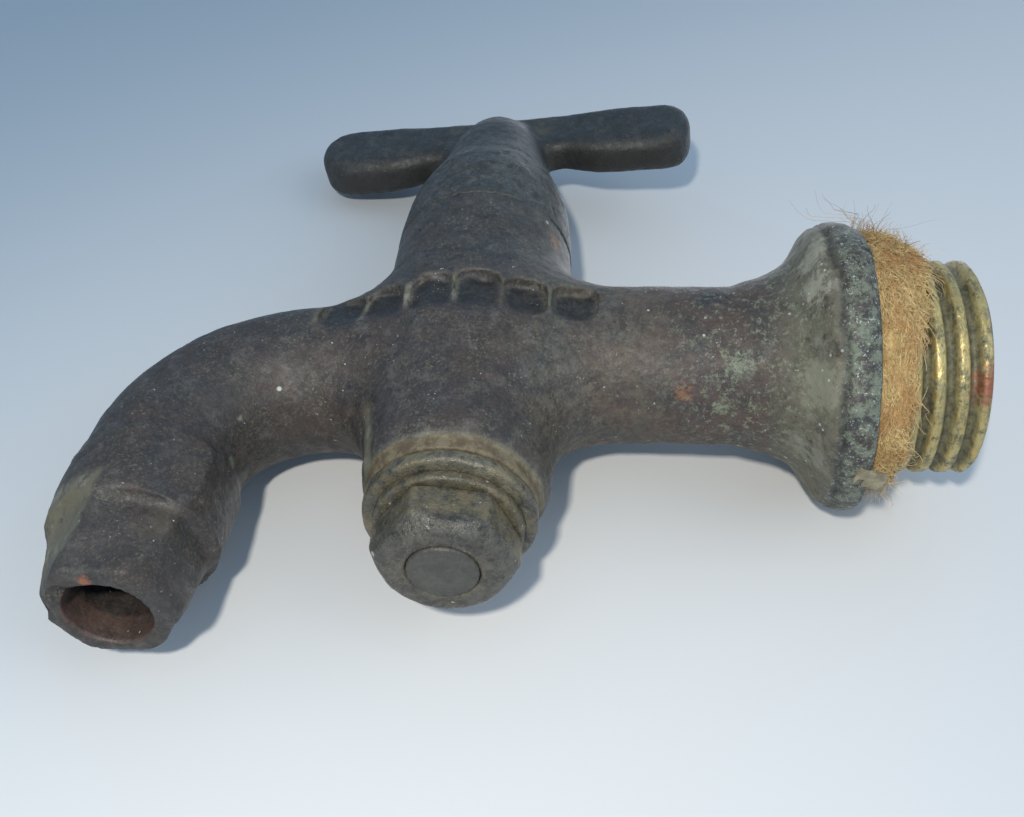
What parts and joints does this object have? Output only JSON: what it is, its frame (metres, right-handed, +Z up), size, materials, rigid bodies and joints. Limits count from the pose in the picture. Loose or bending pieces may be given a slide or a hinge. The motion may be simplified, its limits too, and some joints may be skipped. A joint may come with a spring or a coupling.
{
  "type": "plug tap",
  "caption": "Cast plug tap with a T-handled tapered key, a bent spout, a flange and a short male inlet thread wrapped in hemp.",
  "frame": {"origin": "on the inlet's axis, in the plane of the flange's sealing face", "axes": "+X out of the inlet along its axis, +Z up the key towards its handle, with the spout opening towards -Z"},
  "size_m": [0.0851, 0.0284, 0.0794],
  "materials": {
    "body_metal": "dark, worn patina",
    "key_metal": "dark grey-green patina",
    "washer_metal": "dull, olive deposits",
    "ring_metal": "dull, olive deposits",
    "nut_metal": "dark, worn",
    "hemp": "loose dry fibre"
  },
  "bodies": {
    "body": {"tap_body": "body_metal", "hemp_wrap": "hemp"},
    "key": {"key": "key_metal", "tail_washer": "washer_metal", "nut_ring": "ring_metal", "tail_nut": "nut_metal"}
  },
  "joints": [
    {"name": "key_turn", "type": "hinge", "parent": "body", "child": "key", "pos_m": [-0.038, 0, 0], "axis": [0, 0, 1], "continuous": true}
  ]
}
